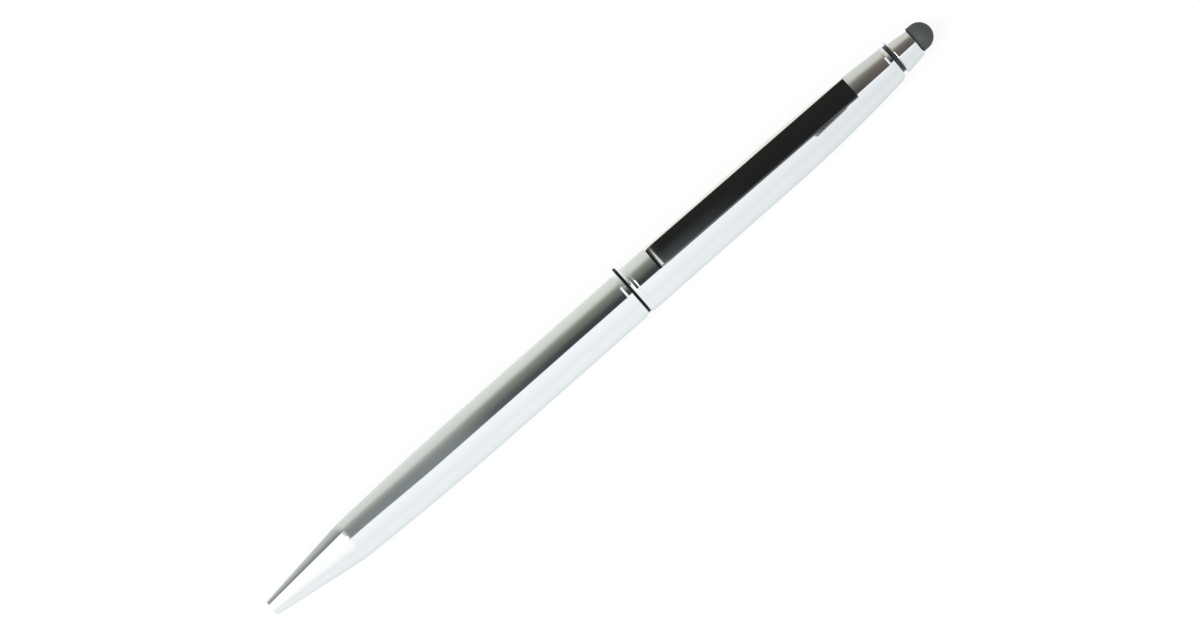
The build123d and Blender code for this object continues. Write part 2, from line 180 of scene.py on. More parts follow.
# Grain and relief of the finishes
SMUDGE_GRAIN = (6.0 * MM, 2.0 * MM, 2.0 * MM)
HAIRLINE_GRAIN = (9.0 * MM, 0.05 * MM, 0.05 * MM)
HAIRLINE_DEPTH = 0.00004 * MM
WAVE_GRAIN = (14.0 * MM, 4.0 * MM, 4.0 * MM)
WAVE_DEPTH = 0.003 * MM
LACQUER_GRAIN = (3.0 * MM, 1.5 * MM, 1.5 * MM)
PEEL_GRAIN = (0.35 * MM, 0.35 * MM, 0.35 * MM)
PEEL_DEPTH = 0.0006 * MM
RUBBER_GRAIN = (1.2 * MM, 1.2 * MM, 1.2 * MM)
DUST_GRAIN = (0.06 * MM, 0.06 * MM, 0.06 * MM)
DUST_DEPTH = 0.006 * MM
ROUND_GRAIN = (0.12 * MM, 0.12 * MM, 0.12 * MM)
PLASTIC_DEPTH = 0.002 * MM
INK_DEPTH = 0.0005 * MM
GREASE_DEPTH = 0.001 * MM
TURNED_GRAIN = (0.06 * MM, 6.0 * MM, 6.0 * MM)
BRASS_DEPTH = 0.001 * MM
STEEL_DEPTH = 0.0005 * MM
NICKEL_DEPTH = 0.0008 * MM
DRAWN_GRAIN = (12.0 * MM, 0.06 * MM, 0.06 * MM)
DRAWN_DEPTH = 0.0006 * MM
NOISE_MIDDLE_SHARES = (0.3, 0.7)

# The clip's free end: reach of a painted sheen on its near side, the edge past which the sheen and the coat
# begin, and the fuller coat
PAINTED_SHEEN_LENGTH = 17.0 * MM
PAINTED_SHEEN_START = 0.4 * MM
EDGE_START = 0.24 * MM
EDGE_END = 0.36 * MM
POLISHED_LENGTH = 1.0 * MM

# Stations along the pen, read from the frame
nose_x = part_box("lower_barrel")[0].x
lower_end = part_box("lower_barrel")[1].x
ring_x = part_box("center_ring")[0].x
ring_sleeve_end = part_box("center_ring")[1].x
upper_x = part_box("upper_barrel")[0].x
upper_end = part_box("upper_barrel")[1].x
holder_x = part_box("stylus_holder")[0].x
dome_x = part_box("stylus_holder")[1].x
top_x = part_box("stylus_dome")[1].x
ferrule_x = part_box("coupling_ferrule")[0].x
ferrule_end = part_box("coupling_ferrule")[1].x
guide_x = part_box("guide_tube")[0].x
saddle_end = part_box("clip_saddle")[1].x
tube_x, tube_end = (corner.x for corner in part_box("refill_tube"))
tip_x, tip_end = (corner.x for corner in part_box("refill_tip"))
ball_x = sum(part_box("refill_ball"), Vector()).x / 2


def eased(x_flat, r_flat, x_end, r_end, steps):
    """Points of a circular curve that leaves its first point along the pen and bends down to its last."""
    run = x_end - x_flat
    drop = r_flat - r_end
    radius = (run ** 2 + drop ** 2) / (2 * drop)
    points = []
    for i in range(steps + 1):
        ahead = run * i / steps
        points.append((x_flat + ahead, r_flat - radius + math.sqrt(radius ** 2 - ahead ** 2)))
    return points


def quarter(center_x, radius, steps):
    """Points of a quarter circle from the pen's axis outwards."""
    angles = [math.pi / 2 * i / steps for i in range(steps + 1)]
    return [(center_x + radius * math.cos(a), radius * math.sin(a)) for a in angles]


def rounded(outline):
    """Points and outward normals along an outline of (x, radius) or (x, radius, rounding) corners.

    The outside runs towards the nose and the inside back, so that the solid lies on the left.
    """
    closed = outline[0][1] > 0
    corners = [Vector(c[:2]) for c in outline]
    points = []
    for i, corner in enumerate(corners):
        before = corners[i - 1] - corner
        after = corners[(i + 1) % len(corners)] - corner
        if not closed and i == 0:
            before = -after
        if not closed and i == len(corners) - 1:
            after = -before
        before.normalize()
        after.normalize()
        turn = math.pi - before.angle(after)
        rounding = outline[i][2] if len(outline[i]) > 2 else 0
        outward = 1 if before.x * after.y - before.y * after.x < 0 else -1
        if rounding == 0:
            along = (after - before).normalized()
            points.append((corner, Vector((along.y, -along.x))))
            continue
        center = corner + (before + after).normalized() * rounding / math.cos(turn / 2)
        first = corner + before * rounding * math.tan(turn / 2) - center
        steps = max(2, math.ceil(turn / ARC_STEP))
        for step in range(steps + 1):
            arm = first.copy()
            arm.rotate(Matrix.Rotation(outward * turn * step / steps, 2))
            points.append((center + arm, outward * arm.normalized()))
    return points, closed


def lathe(name, outline):
    """A mesh turned about the pen's axis, with the outline's exact normals."""
    points, closed = rounded(outline)
    angles = [2 * math.pi * j / SEGMENTS for j in range(SEGMENTS)]
    spokes = [(math.cos(a), math.sin(a)) for a in angles]
    vertices, normals, rings = [], [], []
    for point, normal in points:
        on_axis = point.y == 0
        ring = spokes[:1] if on_axis else spokes
        rings.append([len(vertices) + j % len(ring) for j in range(SEGMENTS)])
        for c, s in ring:
            vertices.append((point.x, point.y * c, AXIS_Z + point.y * s))
            normals.append((normal.x, normal.y * c, normal.y * s))
    faces = []
    for i in range(len(rings) if closed else len(rings) - 1):
        here, there = rings[i], rings[(i + 1) % len(rings)]
        for j in range(SEGMENTS):
            k = (j + 1) % SEGMENTS
            quad = dict.fromkeys((here[j], there[j], there[k], here[k]))
            faces.append(tuple(quad))
    mesh = bpy.data.meshes.new(name)
    mesh.from_pydata(vertices, [], faces)
    mesh.polygons.foreach_set("use_smooth", [True] * len(mesh.polygons))
    mesh.normals_split_custom_set_from_vertices(normals)
    return mesh


def show(node, mesh, material):
    """Puts a new mesh in a node's place, on the node's body."""
    mesh.materials.clear()
    mesh.materials.append(material)
    obj = bpy.data.objects.new(mesh.name, mesh)
    bpy.context.scene.collection.objects.link(obj)
    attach(obj, frame["nodes"][node]["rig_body"])
    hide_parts(node)


def evaluated_mesh(obj, name):
    """The object's mesh with its modifiers applied."""
    graph = bpy.context.evaluated_depsgraph_get()
    mesh = bpy.data.meshes.new_from_object(obj.evaluated_get(graph), depsgraph=graph)
    mesh.name = name
    return mesh


def lower_barrel():
    """The lower half: shoulder, long swell, nose cone and stepped bore."""
    swell_end = lower_end - LOWER_STRAIGHT
    shoulder_x = lower_end - SHOULDER_LENGTH
    cone_x = nose_x + NOSE_CONE_LENGTH
    bore_floor = lower_end - BORE_DEPTH
    mid_floor = nose_x + MID_BORE_FLOOR
    throat_floor = nose_x + THROAT_FLOOR
    crease_radius = BARREL_RADIUS - CREASE_LENGTH * math.tan(SHOULDER_CREASE_SLOPE)
    swell = eased(swell_end, BARREL_RADIUS, cone_x, CONE_BASE_RADIUS, SWELL_STEPS)
    return lathe("lower_barrel_turned", [
        (lower_end, SHOULDER_RADIUS, FINE_ROUND),
        (shoulder_x + CREASE_LENGTH, crease_radius, CREASE_ROUND),
        (shoulder_x, BARREL_RADIUS, CREASE_ROUND),
        *swell[:-1],
        (cone_x, CONE_BASE_RADIUS, BREAK_ROUND),
        (nose_x + EDGE_BREAK, NOSE_RADIUS, EDGE_ROUND),
        (nose_x, NOSE_RADIUS - EDGE_BREAK, EDGE_ROUND),
        (nose_x, NOSE_BORE_RADIUS, EDGE_ROUND),
        (throat_floor - DRILL_CONE, NOSE_BORE_RADIUS, EDGE_ROUND),
        (throat_floor, THROAT_RADIUS, EDGE_ROUND),
        (mid_floor - DRILL_CONE, THROAT_RADIUS, EDGE_ROUND),
        (mid_floor, MID_BORE_RADIUS, EDGE_ROUND),
        (bore_floor - DRILL_CONE, MID_BORE_RADIUS, EDGE_ROUND),
        (bore_floor, BORE_RADIUS, EDGE_ROUND),
        (lower_end, BORE_RADIUS, EDGE_ROUND),
    ])


def coupling_ferrule():
    """The black ferrule: journal, collar that shows at the joint, and spigot."""
    collar_end = ring_x - FIT_GAP
    return lathe("coupling_ferrule_turned", [
        (ferrule_end, JOURNAL_RADIUS, EDGE_ROUND),
        (collar_end, JOURNAL_RADIUS, EDGE_ROUND),
        (collar_end, SHOULDER_RADIUS, EDGE_ROUND),
        (lower_end, SHOULDER_RADIUS, EDGE_ROUND),
        (lower_end, SPIGOT_RADIUS, FINE_ROUND),
        (ferrule_x + SPIGOT_EDGE, SPIGOT_RADIUS, EDGE_ROUND),
        (ferrule_x, SPIGOT_RADIUS - SPIGOT_EDGE, EDGE_ROUND),
        (ferrule_x, GUIDE_BORE_RADIUS, EDGE_ROUND),
        (guide_x, GUIDE_BORE_RADIUS, FINE_ROUND),
        (guide_x, GUIDE_SEAT_RADIUS, FINE_ROUND),
        (ferrule_end, GUIDE_SEAT_RADIUS, EDGE_ROUND),
    ])


def center_ring():
    """The thin ring above the joint, with the sleeve that seats it."""
    return lathe("center_ring_turned", [
        (upper_x, BARREL_RADIUS - RING_GROOVE_DEPTH, FINE_ROUND),
        (upper_x - RING_FAR_SLOPE, BARREL_RADIUS, RING_ROUND),
        (ring_x + RING_NEAR_SLOPE, BARREL_RADIUS, RING_ROUND),
        (ring_x, RING_EDGE_RADIUS, FINE_ROUND),
        (ring_x, RING_BORE_RADIUS, FINE_ROUND),
        (ring_sleeve_end, RING_BORE_RADIUS, FINE_ROUND),
        (ring_sleeve_end, SLEEVE_RADIUS, FINE_ROUND),
        (upper_x, SLEEVE_RADIUS, FINE_ROUND),
    ])


def upper_outline():
    """The upper half's outline: bevelled top, curved taper, straight length and bore."""
    bevel_x = upper_end - TOP_BEVEL_LENGTH
    top_floor = upper_end - TOP_BORE_DEPTH
    taper = eased(upper_end - TAPER_LENGTH, BARREL_RADIUS, bevel_x, TAPER_END_RADIUS, LONG_STEPS)
    crest_radius = TAPER_END_RADIUS - CREASE_LENGTH * math.tan(CREST_CREASE_SLOPE)
    return [
        (upper_end, TOP_RADIUS, EDGE_ROUND),
        (bevel_x + CREASE_LENGTH, crest_radius, CREASE_ROUND),
        (bevel_x, TAPER_END_RADIUS, CREASE_ROUND),
        *taper[-2::-1],
        (upper_x + EDGE_BREAK, BARREL_RADIUS, EDGE_ROUND),
        (upper_x, BARREL_RADIUS - RING_GROOVE_DEPTH, EDGE_ROUND),
        (upper_x, BORE_RADIUS, EDGE_ROUND),
        (top_floor - CAVITY_TAPER_LENGTH, BORE_RADIUS, EDGE_ROUND),
        (top_floor, CAVITY_END_RADIUS, EDGE_ROUND),
        (top_floor, TOP_BORE_RADIUS, EDGE_ROUND),
        (upper_end, TOP_BORE_RADIUS, EDGE_ROUND),
    ]


def slot_cutter():
    """A prism of the clip slot's outline, from the pen's axis up."""
    start = saddle_end - SADDLE_LENGTH - SLOT_GAP
    end = saddle_end + SLOT_GAP
    front = SADDLE_FRONT_WIDTH / 2 + SLOT_GAP
    rear = SADDLE_REAR_WIDTH / 2 + SLOT_GAP
    corners = ((end, rear), (start, front), (start, -front), (end, -rear))
    ring = [place for place, _ in rounded([(*corner, SLOT_CORNER) for corner in corners])[0]]
    count = len(ring)
    vertices = [(x, y, z) for z in (AXIS_Z, AXIS_Z + 2 * BARREL_RADIUS) for x, y in ring]
    faces = [tuple(reversed(range(count))), tuple(range(count, 2 * count))]
    for i in range(count):
        j = (i + 1) % count
        faces.append((i, j, count + j, count + i))
    mesh = bpy.data.meshes.new("slot_cutter")
    mesh.from_pydata(vertices, [], faces)
    return bpy.data.objects.new("slot_cutter", mesh)


def upper_barrel():
    """The turned shell with the clip slot cut out, shaded with the turned outline's normals."""
    outline = upper_outline()
    whole = bpy.data.objects.new("whole_barrel", lathe("whole_barrel", outline))
    cutter = slot_cutter()
    for obj in (whole, cutter):
        bpy.context.scene.collection.objects.link(obj)
    cut = whole.modifiers.new("slot", "BOOLEAN")
    cut.object = cutter
    cut.operation = "DIFFERENCE"
    cut.solver = "EXACT"
    mesh = evaluated_mesh(whole, "upper_barrel_turned")
    for obj in (whole, cutter):
        bpy.data.objects.remove(obj)
    least = TOP_RADIUS - EDGE_ROUND
    outside = [(p.x, n.x, n.y) for p, n in rounded(outline)[0] if p.y >= least and n.y > 0]
    stations, lean, rise = np.array(sorted(outside)).T
    mesh.polygons.foreach_set("use_smooth", [True] * len(mesh.polygons))
    normals = [Vector()] * len(mesh.loops)
    for face in mesh.polygons:
        for index in face.loop_indices:
            place = mesh.vertices[mesh.loops[index].vertex_index].co
            radial = Vector((0, place.y, place.z - AXIS_Z)).normalized()
            turned = radial * np.interp(place.x, stations, rise)
            turned.x = np.interp(place.x, stations, lean)
            on_skin = turned.normalized().dot(face.normal) > math.cos(2 * ARC_STEP)
            normals[index] = turned.normalized() if on_skin else face.normal.copy()
    mesh.normals_split_custom_set(normals)
    return mesh


def neck_ring():
    """The recessed black ring under the stylus holder."""
    return lathe("neck_ring_turned", [
        (holder_x, NECK_RADIUS, EDGE_ROUND),
        (upper_end, NECK_RADIUS, EDGE_ROUND),
        (upper_end, STUD_BORE_RADIUS, EDGE_ROUND),
        (holder_x, STUD_BORE_RADIUS, EDGE_ROUND),
    ])


def stylus_holder():
    """The conical collar, with its stud hole and the undercut for the dome's flange."""
    socket = upper_end + STUD_SOCKET
    undercut_end = socket + DOME_FLANGE_LENGTH + 2 * FIT_GAP
    return lathe("stylus_holder_turned", [
        (dome_x, HOLDER_TIP_RADIUS, EDGE_ROUND),
        (holder_x + HOLDER_EDGE, HOLDER_BASE_RADIUS, EDGE_ROUND),
        (holder_x, HOLDER_BASE_RADIUS - HOLDER_EDGE, EDGE_ROUND),
        (holder_x, STUD_BORE_RADIUS, FINE_ROUND),
        (socket, STUD_BORE_RADIUS, FINE_ROUND),
        (socket, DOME_FLANGE_RADIUS + FIT_GAP, FINE_ROUND),
        (undercut_end, DOME_FLANGE_RADIUS + FIT_GAP, FINE_ROUND),
        (undercut_end, DOME_STEM_RADIUS + FIT_GAP, FINE_ROUND),
        (dome_x, DOME_STEM_RADIUS + FIT_GAP, FINE_ROUND),
    ])


def stylus_dome():
    """The rubber dome, with a groove under its lip, on its stem and flange."""
    flange_x = upper_end + STUD_SOCKET + FIT_GAP
    flange_end = flange_x + DOME_FLANGE_LENGTH
    lip_end = dome_x + DOME_LIP_LENGTH
    return lathe("stylus_dome_moulded", [
        *quarter(top_x - CROWN_RADIUS, CROWN_RADIUS, LONG_STEPS),
        (lip_end, CROWN_RADIUS, FINE_ROUND),
        (lip_end, DOME_RADIUS, FINE_ROUND),
        (dome_x + DOME_GROOVE_WIDTH, DOME_RADIUS, FINE_ROUND),
        (dome_x + DOME_GROOVE_WIDTH, DOME_RADIUS - DOME_GROOVE_DEPTH, FINE_ROUND),
        (dome_x, DOME_RADIUS - DOME_GROOVE_DEPTH, FINE_ROUND),
        (dome_x, DOME_STEM_RADIUS, FINE_ROUND),
        (flange_end, DOME_STEM_RADIUS, FINE_ROUND),
        (flange_end, DOME_FLANGE_RADIUS, FINE_ROUND),
        (flange_x, DOME_FLANGE_RADIUS, FINE_ROUND),
        (flange_x, 0),
    ])


def refill_tip():
    """The writing tip: plug, flange, cone and the ball's socket."""
    flange_x = tip_x + TIP_LENGTH
    reach = math.acos((tip_x - ball_x) / SOCKET_RADIUS)
    angles = [reach * (1 - i / SHORT_STEPS) for i in range(SHORT_STEPS + 1)]
    socket = [(ball_x + SOCKET_RADIUS * math.cos(a), SOCKET_RADIUS * math.sin(a)) for a in angles]
    return lathe("refill_tip_turned", [
        (tip_end, 0),
        (tip_end, PLUG_RADIUS, EDGE_ROUND),
        (tube_x, PLUG_RADIUS, FINE_ROUND),
        (tube_x, REFILL_RADIUS, EDGE_ROUND),
        (flange_x, REFILL_RADIUS, EDGE_ROUND),
        (flange_x, TIP_RADIUS, EDGE_ROUND),
        (tip_x + TIP_CONE_LENGTH, TIP_RADIUS, EDGE_ROUND),
        (tip_x, TIP_RIM_RADIUS, FINE_ROUND),
        (tip_x, socket[0][1], FINE_ROUND),
        *socket[1:-1],
        (ball_x + SOCKET_RADIUS, 0),
    ])


def refill_tube():
    """The drawn tube with the crimp that holds the tip."""
    crimp = tube_x + CRIMP_SETBACK
    return lathe("refill_tube_drawn", [
        (tube_end, REFILL_RADIUS, EDGE_ROUND),
        (crimp + CRIMP_WIDTH, REFILL_RADIUS, EDGE_ROUND),
        (crimp, REFILL_RADIUS - CRIMP_DEPTH, CRIMP_WIDTH),
        (crimp - CRIMP_WIDTH, REFILL_RADIUS, EDGE_ROUND),
        (tube_x, REFILL_RADIUS, EDGE_ROUND),
        (tube_x, TUBE_BORE_RADIUS, FINE_ROUND),
        (tube_end, TUBE_BORE_RADIUS, FINE_ROUND),
    ])


def patched(name, patches, walls):
    """A mesh of grids, which are lists of rows of places with their normals, and of walls, one row each."""
    vertices, normals, faces = [], [], []
    for rows in patches:
        first = len(vertices)
        width = len(rows[0])
        for row in rows:
            vertices.extend(place for place, _ in row)
            normals.extend(normal for _, normal in row)
        for i in range(len(rows) - 1):
            for j in range(width - 1):
                here = first + i * width + j
                faces.append((here, here + 1, here + 1 + width, here + width))
    for row in walls:
        faces.append(tuple(range(len(vertices), len(vertices) + len(row))))
        vertices.extend(place for place, _ in row)
        normals.extend(normal for _, normal in row)
    mesh = bpy.data.meshes.new(name)
    mesh.from_pydata(vertices, [], faces)
    mesh.polygons.foreach_set("use_smooth", [True] * len(mesh.polygons))
    mesh.normals_split_custom_set_from_vertices(normals)
    return mesh


def clip_section(floor_z, top_z):
    """The clip's outside across the pen: up one side, over the crowned top and down the other."""
    half = CLIP_WIDTH / 2
    bend = (half ** 2 + CLIP_CROWN ** 2) / (2 * CLIP_CROWN)
    heights = []
    for i in range(SHORT_STEPS + 1):
        y = half * (1 - 2 * i / SHORT_STEPS)
        heights.append((y, top_z - bend + math.sqrt(bend ** 2 - y ** 2)))
    first, *middle, last = heights
    corners = [(*first, CLIP_EDGE_RADIUS), *middle, (*last, CLIP_EDGE_RADIUS)]
    points = rounded([(half, floor_z), *corners, (-half, floor_z)])[0]
    sides = {0: Vector((1, 0)), len(points) - 1: Vector((-1, 0))}
    return [(place, sides.get(i, normal)) for i, (place, normal) in enumerate(points)]


def clip_drop(ahead):
    """How far the clip's top lies below its line at a distance from the free end, and its slope there."""
    short_share = max(1 - ahead / CLIP_NOSE_LENGTH, 0)
    rise_share = math.sqrt(max(1 - short_share ** 2, LEAST_SHARE))
    left_share = max(1 - ahead / CLIP_CURL_LENGTH, 0)
    drop = CLIP_NOSE_DROP * (1 - rise_share) + CLIP_CURL * left_share ** 2
    nose_slope = CLIP_NOSE_DROP / CLIP_NOSE_LENGTH * short_share / rise_share
    return drop, nose_slope + 2 * CLIP_CURL / CLIP_CURL_LENGTH * left_share


def clip_arm():
    """The folded clip: crowned top, round free end, hollow underside and bead, sloping to its root."""
    slope = math.atan2(CLIP_FALL, CLIP_LENGTH)
    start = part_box("clip_arm")[0].x + CLIP_DEPTH * math.sin(slope)
    floor_z = AXIS_Z + BARREL_RADIUS + CLIP_RISE
    top_z = floor_z + CLIP_DEPTH
    web_z = top_z - CLIP_SHEET
    half = CLIP_WIDTH / 2
    inner_half = half - CLIP_SHEET
    inner_end = CLIP_LENGTH - CLIP_SHEET
    nose = [CLIP_NOSE_LENGTH * (1 - math.cos(math.pi / 2 * i / SHORT_STEPS)) for i in range(SHORT_STEPS)]
    past_nose = CLIP_CURL_LENGTH - CLIP_NOSE_LENGTH
    curl = [CLIP_NOSE_LENGTH + past_nose * i / SHORT_STEPS for i in range(SHORT_STEPS + 1)]
    stations = sorted((*nose, CLIP_SHEET, *curl, inner_end, CLIP_LENGTH))
    section = clip_section(floor_z, top_z)
    skin = []
    for ahead in stations:
        drop, lean = clip_drop(ahead)
        row = []
        for place, normal in section:
            z = max(place.y - drop, floor_z)
            leaning = Vector((-lean * normal.y, *normal)).normalized()
            row.append((Vector((start + ahead, place.x, z)), leaning))
        skin.append(row)

    def strip(begin, end, corners, normal):
        """A flat strip along the clip between two stations, through corners across it."""
        inside = [ahead for ahead in stations if begin <= ahead <= end]
        return [[(Vector((start + ahead, *corner)), normal) for corner in corners] for ahead in inside]

    def wall(ahead, corners, facing):
        """A flat wall across the clip at a station, facing along it or back."""
        ordered = corners if facing > 0 else corners[::-1]
        return [(Vector((start + ahead, *corner)), Vector((facing, 0, 0))) for corner in ordered]

    down = Vector((0, 0, -1))
    across = Vector((0, 1, 0))
    left_edge, left, right, right_edge = ((y, floor_z) for y in (-half, -inner_half, inner_half, half))
    left_web, right_web = ((y, web_z) for y in (-inner_half, inner_half))
    whole_floor = (left_edge, left, right, right_edge)
    patches = [
        skin,
        strip(0, CLIP_SHEET, whole_floor, down),
        strip(CLIP_SHEET, inner_end, (left_edge, left), down),
        strip(CLIP_SHEET, inner_end, (right, right_edge), down),
        strip(inner_end, CLIP_LENGTH, whole_floor, down),
        strip(CLIP_SHEET, inner_end, (left, left_web), across),
        strip(CLIP_SHEET, inner_end, (left_web, right_web), down),
        strip(CLIP_SHEET, inner_end, (right_web, right), -across),
    ]
    free_end, root_end = ([*(place.yz for place, _ in row), left, right] for row in (skin[0], skin[-1]))
    hollow_end = (left, right, right_web, left_web)
    walls = [
        wall(0, free_end, -1),
        wall(CLIP_LENGTH, root_end, 1),
        wall(CLIP_SHEET, hollow_end, 1),
        wall(inner_end, hollow_end, -1),
    ]
    pivot = Matrix.Translation((start, 0, top_z))
    sloping = pivot @ Matrix.Rotation(slope, 4, "Y") @ pivot.inverted()
    for row in (*walls, *(row for rows in patches for row in rows)):
        row[:] = [(sloping @ place, sloping.to_3x3() @ normal) for place, normal in row]
    bead = Vector((start + BEAD_SETBACK, 0, AXIS_Z + BARREL_RADIUS + BEAD_GAP + BEAD_RADIUS))
    turns = [2 * math.pi * i / LONG_STEPS for i in range(LONG_STEPS + 1)]
    arms = [Vector((math.cos(a), 0, math.sin(a))) for a in turns]
    bead_sides = (inner_half, -inner_half)
    rims = [[(bead + arm * BEAD_RADIUS + across * y, arm) for arm in arms] for y in bead_sides]
    bead_ends = [
        [(place, across) for place, _ in rims[0][:0:-1]],
        [(place, -across) for place, _ in rims[1][1:]],
    ]
    return patched("clip_arm_folded", [*patches, rims], [*walls, *bead_ends])


def clip_saddle():
    """The clip's pressed foot: its solid with the sharp edges rounded."""
    work = bmesh.new()
    work.from_mesh(frame["nodes"]["clip_saddle"].data)
    bmesh.ops.remove_doubles(work, verts=work.verts, dist=WELD_GAP)
    bmesh.ops.dissolve_limit(work, angle_limit=FLAT_ANGLE, verts=work.verts, edges=work.edges)
    mesh = bpy.data.meshes.new("work")
    work.to_mesh(mesh)
    work.free()
    mesh.polygons.foreach_set("use_smooth", [True] * len(mesh.polygons))
    holder = bpy.data.objects.new("work", mesh)
    bpy.context.scene.collection.objects.link(holder)
    bevel = holder.modifiers.new("edges", "BEVEL")
    bevel.width = CLIP_SOFT_EDGE
    bevel.segments = EDGE_SEGMENTS
    bevel.limit_method = "ANGLE"
    bevel.angle_limit = SHARP_ANGLE
    bevel.harden_normals = True
    result = evaluated_mesh(holder, "clip_saddle_pressed")
    bpy.data.objects.remove(holder)
    return result


# Helpers for the materials
def shader(name):
    """A new material with its node tree and its surface shader."""
    material = bpy.data.materials.new(name)
    material.use_nodes = True
    tree = material.node_tree
    return material, tree, tree.nodes["Principled BSDF"]


def feed(tree, node, inputs):
    """Sets a node's sockets, by name or number, to values or to other nodes' outputs."""
    for key, value in inputs.items():
        if isinstance(value, bpy.types.NodeSocket):
            tree.links.new(value, node.inputs[key])
        else:
            node.inputs[key].default_value = value


def add(tree, kind, inputs=None, **settings):
    """A new node with its settings made and its sockets fed."""
    node = tree.nodes.new("ShaderNode" + kind)
    for key, value in settings.items():
        setattr(node, key, value)
    feed(tree, node, inputs or {})
    return node


def worked(tree, operation, *values):
    """A sum, product or comparison of numbers or other nodes' outputs."""
    return add(tree, "Math", dict(enumerate(values)), operation=operation).outputs[0]


def mapped(tree, value, start, end, low=0.0, high=1.0, **settings):
    """A value's way from start to end, spread from low to high."""
    return add(tree, "MapRange", {
        "Value": value, "From Min": start, "From Max": end, "To Min": low, "To Max": high,
    }, **settings).outputs["Result"]


def grain(tree, sizes, detail=3.0):
    """A noise from 0 to 1 whose grains have these sizes along x, y and z."""
    place = add(tree, "TexCoord").outputs["Object"]
    cells = add(tree, "VectorMath", {0: place, 1: [1 / size for size in sizes]}, operation="MULTIPLY")
    noise = add(tree, "TexNoise", {"Vector": cells.outputs[0], "Scale": 1, "Detail": detail})
    return noise.outputs["Fac"]


def spread(tree, noise, low, high):
    """A noise's middle stretch spread from low to high."""
    return mapped(tree, noise, *NOISE_MIDDLE_SHARES, low, high)


def blended(tree, factor, first, second):
    """A colour between two, by a factor. Each colour is four numbers or another node's output."""
    return add(tree, "MixRGB", {"Fac": factor, "Color1": first, "Color2": second}).outputs["Color"]


def tinted(tree, factor, first, second):
    """A colour between two plain tones, by a factor."""
    return blended(tree, factor, (*first, 1), (*second, 1))


def relief(tree, height, depth, under=None):
    """The normal of a relief, laid over another relief's normal where one is given."""
    inputs = {"Height": height, "Distance": depth}
    if under is not None:
        inputs["Normal"] = under
    return add(tree, "Bump", inputs).outputs["Normal"]


def finish_surface(name, first, second, rough, sizes, depth, metallic=0.0, specular=0.5):
    """A material with a varied colour and roughness and a fine relief, all of one grain."""
    material, tree, surface = shader(name)
    pattern = grain(tree, sizes)
    feed(tree, surface, {
        "Base Color": tinted(tree, pattern, first, second),
        "Roughness": spread(tree, pattern, *rough),
        "Metallic": metallic,
        "Specular IOR Level": specular,
        "Normal": relief(tree, pattern, depth),
    })
    return material


# Chrome: tones, and the lean and rise of the far flank, where a paler painted reflection lies
BRIGHT_TONES = ((0.79, 0.835, 0.845), (0.815, 0.855, 0.865))
DEEP_TONES = ((0.695, 0.735, 0.745), (0.72, 0.755, 0.765))
PAINTED_FLANK_SHEEN_TONE = (0.945, 0.96, 0.955, 1)
RIM_TONE = (0.76, 0.8, 0.81, 1)
PAINTED_FLANK_RIM_SHEEN = (1, 1, 1, 1)
CHROME_ROUGHNESS = (0.025, 0.06)
SHEEN_FLANK_LEAN_SHARES = (0.56, 0.62)
SHEEN_FLANK_RISE_SHARES = (0.02, 0.2)
SHEEN_CLIP_LEAN_SHARE = 0.14


def chrome():
    """Polished plating with faint smudges, hairlines along the pen and a slight waviness.

    It is a little deeper towards the top end, and carries a pale painted reflection on the far flank, wider
    beside the clip.
    """
    material, tree, surface = shader("chrome")
    smudge = grain(tree, SMUDGE_GRAIN, detail=4)
    hairline = grain(tree, HAIRLINE_GRAIN, detail=2)
    wave = grain(tree, WAVE_GRAIN, detail=1)
    facing = add(tree, "SeparateXYZ", {0: add(tree, "NewGeometry").outputs["Normal"]}).outputs
    station = add(tree, "SeparateXYZ", {0: add(tree, "TexCoord").outputs["Object"]}).outputs["X"]
    toward_top = mapped(tree, station, ring_x, dome_x)
    bright = tinted(tree, smudge, *BRIGHT_TONES)
    deep = tinted(tree, smudge, *DEEP_TONES)
    plating = blended(tree, toward_top, bright, deep)
    # Painted reflection: the far flank, picked by its facing and widened beside the clip, is paled to near
    # white in colour and edge tint
    past_end, past_root = (worked(tree, "GREATER_THAN", station, corner.x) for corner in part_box("clip_arm"))
    beside_clip = worked(tree, "SUBTRACT", past_end, past_root)
    leaning = worked(tree, "MULTIPLY_ADD", beside_clip, SHEEN_CLIP_LEAN_SHARE, facing["Y"])
    aside = mapped(tree, leaning, *SHEEN_FLANK_LEAN_SHARES)
    upward = mapped(tree, facing["Z"], *SHEEN_FLANK_RISE_SHARES)
    painted_flank_sheen = worked(tree, "MULTIPLY", aside, upward)
    hairlines = relief(tree, hairline, HAIRLINE_DEPTH)
    feed(tree, surface, {
        "Base Color": blended(tree, painted_flank_sheen, plating, PAINTED_FLANK_SHEEN_TONE),
        "Specular Tint": blended(tree, painted_flank_sheen, RIM_TONE, PAINTED_FLANK_RIM_SHEEN),
        "Metallic": 1,
        "Roughness": spread(tree, smudge, *CHROME_ROUGHNESS),
        "Normal": relief(tree, wave, WAVE_DEPTH, hairlines),
    })
    return material


# Clip lacquer
LACQUER_TONES = ((0.005, 0.0056, 0.0055), (0.0068, 0.0076, 0.0075))
# Pale tone of a painted sheen on the near side towards the free end
PAINTED_SHEEN_TONE = (0.056, 0.064, 0.069, 1)
LACQUER_ROUGHNESS = (0.14, 0.22)
COAT_ROUGHNESS = 0.12
COAT_IOR = 2.0
WORN_COAT_SHARE = 0.4


